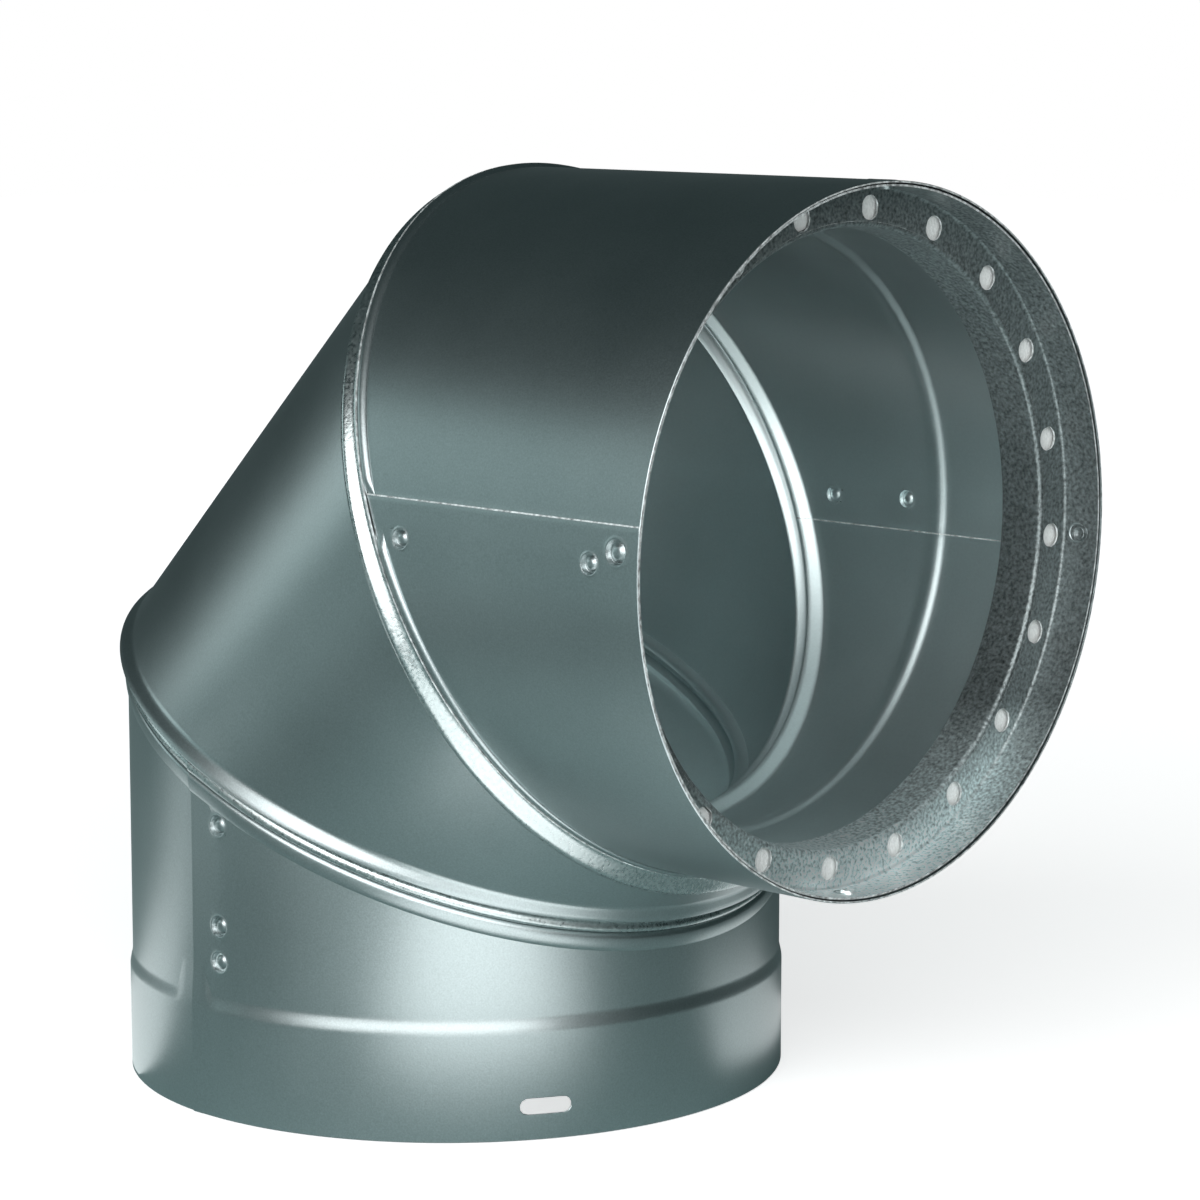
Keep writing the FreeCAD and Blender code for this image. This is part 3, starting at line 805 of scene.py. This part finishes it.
@dataclass
class Shell:
    """The outer wall: three gores of satin sheet with beaded seams.

    Args:
        clinch_radius, clinch_depth: size of the lower collar's clinches, and the depth of all of them.
        upper_clinch, ring_clinch: radius of the upper collar's clinches, in its lap and over the vent ring.
        drawn_out: how far the shoulder of the slip-on band is drawn out beside the lap.
        band_top, shoulder: where the slip-on band ends and how high its shoulder is.
        rim_round: how much the rims are rounded in.
    """

    clinch_radius: float = 2.8
    clinch_depth: float = 0.95
    upper_clinch: float = 2.6
    ring_clinch: float = 3.2
    drawn_out: float = 9.0
    band_top: float = 27.0
    shoulder: float = 4.6
    rim_round: float = 0.12

    def lower(self) -> Gore:
        """The lower collar with its slip-on band, slots and clinches."""
        bore = SIZE.shell - SIZE.sheet
        band_bore = SIZE.band - SIZE.sheet
        band = Ring(Where.RIM, self.band_top, SIZE.band, band_bore)
        wall = Ring(Where.RIM, 32.2, SIZE.shell, bore, soft=self.drawn_out)
        near = Ring(Where.HIGH, 9.2, SIZE.shell, bore)
        rings = [Ring(Where.RIM, 0.0, SIZE.band - self.rim_round, band_bore)]
        rings += fill(Ring(Where.RIM, 0.15, SIZE.band, band_bore), band, 18)
        rings += [band]
        step = 0.7
        for i in range(11):
            even = min(max((i - 1) / 8, 0.0), 1.0)
            share = 0.35 * (0.5 - 0.5 * math.cos(math.pi * even)) + 0.65 * even
            rings.append(Ring(Where.RIM, 27.2 + self.shoulder * i / 10, SIZE.band - step * share,
                              band_bore - step * share, soft=self.drawn_out * i / 10))
        high = Ring(Where.RIM, 36.0, SIZE.shell, bore, soft=self.drawn_out)
        rings += fill(wall, high, 3)
        rings += fill(high, near, 42)
        rings += bead(Where.HIGH, 5.0, 3.5, 1.35, 0.85, (SIZE.shell, bore))
        rings += bead(Where.HIGH, 2.3, 1.25, 1.9, 1.15, (SIZE.shell, bore), Coat.SPANGLE)
        rings.append(Ring(Where.HIGH, 0.0, SIZE.shell, bore, 0.25, 0.0, Coat.EDGE))
        marks = [clinch(-88.0, z, self.clinch_radius, self.clinch_depth) for z in (76.2, 50.1, 40.7)]
        marks += [Mark(a, 8.6, ((3.0, 0.0), (2.22, 0.0), (2.1, 0.12)), 4.7, True) for a in (-29.6, 90.4, -149.6)]
        return Gore("lower_collar", "shell_lower", SIZE.lower, upright(), rings, (Lap(-94.5, 1, 5.6),), tuple(marks),
                    drawn=(-98.0, -91.8), phase=0.4)

    def middle(self) -> Gore:
        """The middle gore: a flared edge below and a rolled crown above."""
        bore = SIZE.middle - SIZE.sheet
        rings = [Ring(Where.LOW, 0.0, SIZE.middle, bore, 0.9)]
        rings += list(reversed(bead(Where.LOW, 0.95, 4.2, 0.8, 2.05, (SIZE.middle, bore), flat=-1)))
        start = Ring(Where.LOW, 5.8, SIZE.middle, bore)
        rings += fill(start, Ring(Where.HIGH, 6.6, SIZE.middle, bore), 56)
        rings += bead(Where.HIGH, 4.1, 2.1, 3.5, 1.8, (SIZE.middle, bore), Coat.SPANGLE, 0.0, 7, 1)
        rings.append(Ring(Where.HIGH, 0.3, SIZE.middle, bore, 0.0, 0.0, Coat.EDGE))
        rings.append(Ring(Where.HIGH, 0.0, SIZE.middle, bore))
        foot = Vector((0, 0, SIZE.lower))
        return Gore("middle_gore", "shell_middle", SIZE.between, slanted(foot), rings, (Lap(92.0, 1),), phase=1.7,
                    heel=0.4)

    def upper(self) -> Gore:
        """The upper collar, whose rim is the mouth."""
        bore = SIZE.shell - SIZE.sheet
        plain = Ring(Where.RIM, 24.0, SIZE.shell, bore)
        rings = [Ring(Where.RIM, 0.0, SIZE.shell - self.rim_round, bore)]
        rings += fill(Ring(Where.RIM, 0.15, SIZE.shell, bore), plain, 30)
        rings += fill(plain, Ring(Where.HIGH, 3.2, SIZE.shell, bore), 44)
        rings += bead(Where.HIGH, 1.35, 1.6, 1.2, 1.0, (SIZE.shell, bore))
        rings.append(Ring(Where.HIGH, 0.0, SIZE.shell, bore, 0.55))
        marks = [clinch(91.8, z, self.upper_clinch, self.clinch_depth) for z in (15.1, 77.6)]
        marks += [clinch(94.0 + 90.0 * i, 6.9, self.ring_clinch, self.clinch_depth) for i in range(4)]
        return Gore("upper_collar", "shell_upper", SIZE.upper, level(), rings, (Lap(98.0, -1, 3.2),), tuple(marks),
                    gap=(92.0, 98.0), phase=2.9)

    def gores(self) -> list[Gore]:
        """All three gores."""
        return [self.lower(), self.middle(), self.upper()]


@dataclass
class Liner:
    """The inner wall that carries the flue gases.

    Args:
        pitch: distance between columns of points.
        ridge: how far the seams stand in from the wall.
    """

    pitch: float = 1.7
    ridge: float = 2.6

    def lower(self) -> Gore:
        """The lower gore with its drawn-in free end."""
        t = SIZE.liner_sheet
        neck = Ring(Where.RIM, 32.0, SIZE.male, SIZE.male - t)
        wall = Ring(Where.RIM, 36.0, SIZE.liner, SIZE.liner - t)
        rings = fill(Ring(Where.RIM, SIZE.liner_end, SIZE.male, SIZE.male - t), neck, 8)
        rings += fill(neck, wall, 3)
        rings += fill(wall, Ring(Where.HIGH, 6.8, SIZE.liner, SIZE.liner - t), 30)
        rings += self.seam(Where.HIGH, 2.0, 3.4, 1.2, -1)
        rings.append(Ring(Where.HIGH, 0.0, SIZE.liner, SIZE.liner - t))
        return Gore("inner_lower", "liner_lower", SIZE.lower + SIZE.setback, upright(), rings,
                    (Lap(-94.5, -1, 5.0, True),), (), phase=0.9, pitch=self.pitch)

    def seam(self, where: Where, crest: float, away: float, near: float, flat: int) -> list[Ring]:
        """Rings over a ridge that stands in from the wall."""
        base = (SIZE.liner, SIZE.liner - SIZE.liner_sheet)
        return bead(where, crest, away, near, 0.0, base, Coat.SHEET, -self.ridge, 7, flat)

    def middle(self) -> Gore:
        """The middle gore, set back towards the inside of the bend."""
        t = SIZE.liner_sheet
        length = SIZE.between - 2 * SIZE.setback * math.cos(2 * MITRE)
        rings = [Ring(Where.LOW, 0.0, SIZE.liner, SIZE.liner - t)]
        rings += list(reversed(self.seam(Where.LOW, 3.4, 1.4, 2.6, 0)))
        rings += fill(Ring(Where.LOW, 5.2, SIZE.liner, SIZE.liner - t),
                      Ring(Where.HIGH, 5.2, SIZE.liner, SIZE.liner - t), 40)
        rings += self.seam(Where.HIGH, 3.4, 1.4, 2.6, 1)
        rings.append(Ring(Where.HIGH, 0.0, SIZE.liner, SIZE.liner - t))
        foot = Vector((0, 0, SIZE.lower + SIZE.setback))
        return Gore("inner_middle", "liner_middle", length, slanted(foot), rings, (Lap(-90.0, 1, 5.0, True),), (),
                    phase=2.2, pitch=self.pitch)

    def upper(self) -> Gore:
        """The upper gore with its widened free end behind the vent ring."""
        t = SIZE.liner_sheet
        wide = Ring(Where.RIM, 42.0, SIZE.female, SIZE.female - t)
        wall = Ring(Where.RIM, 49.5, SIZE.liner, SIZE.liner - t)
        rings = fill(Ring(Where.RIM, SIZE.liner_seat, SIZE.female, SIZE.female - t), wide, 18)
        for at, drop in ((42.0, 0.0), (42.5, 0.1), (43.1, 0.36), (43.8, 0.72), (44.4, 0.92), (45.0, 0.98), (45.7, 0.94),
                         (46.6, 0.78), (47.5, 0.62), (48.4, 0.52)):
            rings.append(Ring(Where.RIM, at, SIZE.female - 0.5 * min(1.0, 2 * drop), SIZE.female - t - drop))
        rings += fill(wall, Ring(Where.HIGH, 6.8, SIZE.liner, SIZE.liner - t), 30)
        rings += self.seam(Where.HIGH, 2.0, 3.4, 1.2, -1)
        rings.append(Ring(Where.HIGH, 0.0, SIZE.liner, SIZE.liner - t))
        marks = tuple(clinch(a, z, 2.4, -0.8) for a, z in ((-88.9, 80.9), (-89.6, 55.7)))
        return Gore("inner_upper", "liner_upper", SIZE.upper + SIZE.setback, level(), rings,
                    (Lap(-83.5, -1, 3.0, True),), marks, phase=3.6, pitch=self.pitch)

    def gores(self) -> list[Gore]:
        """All three gores."""
        return [self.lower(), self.middle(), self.upper()]


@dataclass
class VentRing:
    """The ring that closes the air gap at the mouth: skirt, pierced web and flange.

    Args:
        skirt: outer radius of the skirt.
        flange: outer radius of the flange.
        sheet: thickness.
        recess: distance of the web from the mouth's rim.
        end: distance of the flange's free end from the rim.
        circle: radius of the circle of holes.
        hole: radius of a hole.
        count: number of holes.
        first: angle of the first hole.
        corner: radius of the bend between skirt and web.
        bend: radius of the bend between web and flange.
        start: distance of the skirt's free end from the rim.
    """

    skirt: float = 86.4
    flange: float = 76.4
    sheet: float = 0.5
    recess: float = 11.2
    end: float = 23.5
    circle: float = 80.5
    hole: float = 3.1
    count: int = 20
    first: float = 184.6
    corner: float = 0.9
    bend: float = 1.3
    start: float = 0.5

    def skirt_part(self) -> Gore:
        """The skirt with the bend to the web and the backs of the ring clinches."""
        inner = self.skirt - self.sheet
        tall = self.recess - self.corner - self.start
        rings = [Ring(Where.RIM, self.start + i / 9 * tall, self.skirt, inner, coat=Coat.SPANGLE) for i in range(9)]
        for i in range(7):
            turn = 0.5 * math.pi * i / 6
            drop = self.corner * (1.0 - math.cos(turn))
            at = self.recess - self.corner + self.corner * math.sin(turn)
            rings.append(Ring(Where.RIM, at, self.skirt - drop, inner - drop, coat=Coat.SPANGLE,
                              back=self.sheet * math.sin(turn)))
        marks = tuple(clinch(94.0 + 90.0 * i, 5.7, 2.1, 0.9) for i in range(4))
        return Gore("skirt", "vent_ring", 0.0, level(), rings, (), marks, phase=0.2, wave=0.03, pitch=1.2,
                    coated_inside=True)

    def flange_part(self) -> Gore:
        """The flange inside the liner with the bend to the web."""
        inner = self.flange - self.sheet
        rings = []
        for i in range(7):
            turn = 0.5 * math.pi * i / 6
            rise = self.bend * (1.0 - math.sin(turn))
            at = self.recess + self.bend * (1.0 - math.cos(turn))
            rings.append(Ring(Where.RIM, at, self.flange + rise, inner + rise, coat=Coat.SPANGLE,
                              back=self.sheet * math.cos(turn)))
        for i in range(1, 9):
            at = self.recess + self.bend + (self.end - self.recess - self.bend) * i / 8
            rings.append(Ring(Where.RIM, at, self.flange, inner, coat=Coat.SPANGLE))
        return Gore("flange", "vent_ring", 0.0, level(), rings, phase=1.1, wave=0.03, coated_inside=True)

    def web(self) -> bmesh.types.BMesh:
        """Makes the flat web: a ring of plates with a hole drawn into each."""
        low = self.flange - self.sheet + self.bend
        high = self.skirt - self.sheet - self.corner
        parts = 18
        pitch = 2.0 * math.pi / self.count
        start = math.radians(self.first) - 0.5 * pitch
        mesh = bmesh.new()
        bmesh.ops.create_grid(mesh, x_segments=parts * self.count, y_segments=1, size=1.0)
        mesh.verts.ensure_lookup_table()
        points = mesh.verts[:]
        rows = points[:len(points) // 2], points[len(points) // 2:]
        for row, radius in zip(rows, (low, high)):
            for i, vertex in enumerate(row):
                turn = start + pitch * i / parts
                vertex.co = Vector((radius * math.cos(turn), radius * math.sin(turn), self.recess))
        spokes = [mesh.edges.get((rows[0][i], rows[1][i])) for i in range(parts * self.count) if i % parts]
        bmesh.ops.weld_verts(mesh, targetmap={row[-1]: row[0] for row in rows})
        bmesh.ops.dissolve_edges(mesh, edges=spokes)
        plates = mesh.faces[:]
        for grow in (self.hole + 0.25, self.hole):
            bmesh.ops.inset_individual(mesh, faces=plates, thickness=0.02)
            for plate in plates:
                middle = plate.calc_center_median()
                turn = start + pitch * (math.floor((math.atan2(middle.y, middle.x) - start) / pitch) + 0.5)
                centre = Vector((self.circle * math.cos(turn), self.circle * math.sin(turn), self.recess))
                for vertex in plate.verts:
                    vertex.co = centre + (vertex.co - centre).normalized() * grow
        bmesh.ops.delete(mesh, geom=plates, context="FACES_ONLY")
        bmesh.ops.solidify(mesh, geom=mesh.faces[:], thickness=self.sheet)
        mesh.normal_update()
        for face in mesh.faces:
            face.material_index = Coat.EDGE.value if abs(face.normal.z) < 0.5 else Coat.SPANGLE.value
        return mesh

    def build(self) -> bpy.types.Object:
        """Builds the ring's object."""
        return finished([self.skirt_part().mesh(), self.flange_part().mesh(), self.web()], "pierced_ring", level())

    def painted_light_backing(self) -> bpy.types.Object:
        """Builds a pale ring behind the holes, painted light that makes them look bright."""
        rings = [Ring(Where.RIM, self.recess + 1.5 + 0.4 * i, 85.6, 77.5) for i in range(2)]
        return Gore("painted_hole_light_ring", "vent_ring", 0.0, level(), rings, pitch=3.0, wave=0.0).build()


def dress(shown: bpy.types.Object, *finishes: bpy.types.Material) -> None:
    """Puts finishes in the object's material slots, in place, so that its faces keep their slots.

    Args:
        shown: the object.
        finishes: the finishes, slot by slot.
    """
    for place, finish in enumerate(finishes):
        if place < len(shown.data.materials):
            shown.data.materials[place] = finish
        else:
            shown.data.materials.append(finish)


def area_lamp(name: str, size: tuple[float, float], radiance: float,
              color: tuple[float, float, float] = (1.0, 1.0, 1.0)) -> bpy.types.Object:
    """Links a rectangular light that the camera doesn't see.

    Args:
        name: name of the light.
        size: width and height in metres.
        radiance: brightness of its face.
        color: its colour, linear.

    Returns:
        The light's object.
    """
    data = bpy.data.lights.new(name, "AREA")
    data.shape = "RECTANGLE"
    data.size, data.size_y = size
    data.energy = radiance * math.pi * size[0] * size[1]
    data.color = color
    lamp = bpy.data.objects.new(name, data)
    lamp.visible_camera = False
    bpy.context.scene.collection.objects.link(lamp)
    return lamp


@dataclass(frozen=True)
class Softbox:
    """A large soft light card.

    Args:
        name: name of the light.
        azimuth: direction from the object, in degrees from +X towards +Y.
        elevation: angle over the horizon.
        distance: distance from the object.
        size: width and height in metres.
        radiance: brightness of the card.
        color: its colour, linear.
    """

    name: str
    azimuth: float
    elevation: float
    distance: float
    size: tuple[float, float]
    radiance: float
    color: tuple[float, float, float] = (1.0, 1.0, 1.0)

    def build(self, target: Vector) -> None:
        """Hangs the card and turns it to the object.

        Args:
            target: the point that it faces.
        """
        lamp = area_lamp(self.name, self.size, self.radiance, self.color)
        a, e = math.radians(self.azimuth), math.radians(self.elevation)
        out = Vector((math.cos(a) * math.cos(e), math.sin(a) * math.cos(e), math.sin(e)))
        lamp.location = target + out * self.distance
        lamp.rotation_mode = "QUATERNION"
        lamp.rotation_quaternion = (-out).to_track_quat("-Z", "Y")


@dataclass(frozen=True)
class Glow:
    """A bright sheet just over the floor, which the lower collar mirrors.

    Args:
        name: name of the light.
        azimuth: direction of its middle from the lower axis, in degrees.
        reach: distance of its middle from that axis.
        size: width and height in metres.
        radiance: brightness of the sheet.
    """

    name: str
    azimuth: float
    reach: float
    size: tuple[float, float]
    radiance: float

    def build(self) -> None:
        """Lays the sheet with its bright face up."""
        lamp = area_lamp(self.name, self.size, self.radiance)
        turn = math.radians(self.azimuth)
        lamp.location = (self.reach * math.cos(turn), self.reach * math.sin(turn), MM)
        lamp.rotation_euler = (math.pi, 0.0, turn)


@dataclass
class Studio:
    """Floor, light and camera.

    Args:
        eye: place of the camera.
        look: direction in which it looks.
        lens: its focal length in millimetres.
        floor_size: width of the floor.
        target: the point that the cards face.
        cards: the light cards.
        glows: the bright sheets on the floor.
    """

    eye: tuple[float, float, float] = (0.7461, -0.7246, 0.2807)
    look: tuple[float, float, float] = (-0.6832, 0.7149, -0.1489)
    lens: float = 117.8
    floor_size: float = 8.0
    target: tuple[float, float, float] = (0.03, 0.0, 0.13)
    cards: Sequence[Softbox] = (
        Softbox("key", -58.0, 25.0, 1.7, (3.0, 1.35), 3.6),
        Softbox("left", 207.0, 11.5, 1.4, (0.42, 0.6), 1.12, (0.9, 1.0, 1.0)),
        Softbox("front_left", -137.0, 13.0, 1.6, (0.9, 0.8), 0.42, (0.72, 1.0, 1.0)),
    )
    glows: Sequence[Glow] = (
        Glow("front_glow_near", -38.0, 0.27, (0.22, 0.2), 1.9),
        Glow("front_glow", -38.0, 0.5, (0.24, 0.32), 1.65),
        Glow("front_glow_far", -38.0, 0.82, (0.4, 0.6), 1.8),
        Glow("left_glow_near", 211.0, 0.16, (0.2, 0.09), 1.0),
        Glow("left_glow", 216.0, 0.55, (0.6, 0.12), 0.65),
        Glow("right_glow", 47.0, 0.15, (0.1, 0.1), 0.75),
    )

    def light(self) -> None:
        """Hangs the cards and lays the bright sheets."""
        for card in self.cards:
            card.build(Vector(self.target))
        for glow in self.glows:
            glow.build()

    def backdrop(self) -> None:
        """White for the camera, dim for reflections."""
        world = bpy.data.worlds.new("studio")
        bpy.context.scene.world = world
        board = Board(world)
        seen = board.node("ShaderNodeLightPath").outputs["Is Camera Ray"]
        dim = board.node("ShaderNodeBackground", {"Color": (0.62, 1.0, 1.02, 1.0), "Strength": 0.05})
        white = board.node("ShaderNodeBackground", {"Color": (1.0, 1.0, 1.0, 1.0)})
        mix = board.node("ShaderNodeMixShader", {0: seen, 1: dim.outputs[0], 2: white.outputs[0]})
        board.node("ShaderNodeOutputWorld", {"Surface": mix.outputs[0]})

    def floor_finish(self) -> bpy.types.Material:
        """Makes a floor that looks white and keeps the shadow, and is grey with painted shade in reflections.

        Returns:
            The material.
        """
        material = bpy.data.materials.new("studio_floor")
        board = Board(material)
        seen = board.node("ShaderNodeLightPath").outputs["Is Camera Ray"]
        place = board.node("ShaderNodeTexCoord").outputs["Object"]
        parts = board.node("ShaderNodeSeparateXYZ", {"Vector": place}).outputs
        east, north = Tone(board, parts["X"]), Tone(board, parts["Y"])
        far = (0.9 * (east * east + north * north)).clamped()
        pale = board.node("ShaderNodeBsdfDiffuse", {"Color": (0.85, 0.85, 0.85, 1.0)})
        glow = board.node("ShaderNodeEmission", {"Color": 0.68 + 0.32 * far})
        both = board.node("ShaderNodeAddShader", {0: pale.outputs[0], 1: glow.outputs[0]})
        # Painted shade: in reflections the floor darkens behind the object, and in a patch in front of it
        behind = (3.5 * (0.7 * east + 0.72 * north - 0.22)).clamped()
        aside, ahead = east + 0.1, north + 0.37
        patch = (1.0 - 26.0 * (aside * aside + ahead * ahead)).clamped()
        painted_reflection_shade = (0.48 - 0.38 * behind) * (1.0 - 0.5 * patch)
        grey = board.node("ShaderNodeBsdfDiffuse", {"Color": board.scaled((0.74, 1.0, 1.0), painted_reflection_shade)})
        mix = board.node("ShaderNodeMixShader", {0: seen, 1: grey.outputs[0], 2: both.outputs[0]})
        board.node("ShaderNodeOutputMaterial", {"Surface": mix.outputs[0]})
        return material

    def floor(self) -> None:
        """Lays the floor a little under the object."""
        half = 0.5 * self.floor_size
        data = bpy.data.meshes.new("studio_floor")
        mesh = bmesh.new()
        bmesh.ops.create_grid(mesh, x_segments=1, y_segments=1, size=half,
                              matrix=Matrix.Translation((0, 0, -0.0003)))
        mesh.to_mesh(data)
        mesh.free()
        ground = bpy.data.objects.new("studio_floor", data)
        bpy.context.scene.collection.objects.link(ground)
        ground.data.materials.append(self.floor_finish())

    def camera(self) -> None:
        """Puts the camera where the photograph was taken from."""
        data = bpy.data.cameras.new("photo_camera")
        data.lens = self.lens
        data.sensor_width = 36.0
        data.clip_start, data.clip_end = 0.01, 100.0
        camera = bpy.data.objects.new("photo_camera", data)
        camera.location = self.eye
        camera.rotation_mode = "QUATERNION"
        camera.rotation_quaternion = Vector(self.look).to_track_quat("-Z", "Y")
        bpy.context.scene.collection.objects.link(camera)
        bpy.context.scene.camera = camera


def main() -> None:
    """Builds every sub-assembly in order."""
    scene = bpy.context.scene
    scene.view_settings.view_transform = "Standard"
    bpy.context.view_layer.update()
    sheet, spangle, edge, liner, ring, hole_light_finish = (f.build() for f in (SHEET, SPANGLE, EDGE, LINER, RING, PAINTED_HOLE_LIGHT))
    for assembly, wall, slot in ((Shell(), sheet, "shell"), (Liner(), liner, "liner")):
        for gore in assembly.gores():
            shown = gore.build()
            dress(shown, wall, spangle, edge)
            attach(shown, "root")
            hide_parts(gore.node)
            log.info("%s: %d faces", gore.name, len(shown.data.polygons))
    pierced = VentRing()
    shown = pierced.build()
    dress(shown, ring, ring, edge)
    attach(shown, "root")
    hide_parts("vent_ring")
    log.info("pierced_ring: %d faces", len(shown.data.polygons))
    # Painted light: a pale ring behind the vent holes makes them look bright.
    light_backing = pierced.painted_light_backing()
    dress(light_backing, hole_light_finish, hole_light_finish, hole_light_finish)
    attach(light_backing, "root")
    log.info("painted_hole_light_ring: %d faces", len(light_backing.data.polygons))
    dress(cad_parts["spacer_ring"], ring)
    log.info("spacer_ring dressed")
    studio = Studio()
    studio.light()
    studio.backdrop()
    studio.floor()
    studio.camera()


if __name__ == "__main__":
    logging.basicConfig(level=logging.INFO, format="%(name)s: %(message)s")
    main()
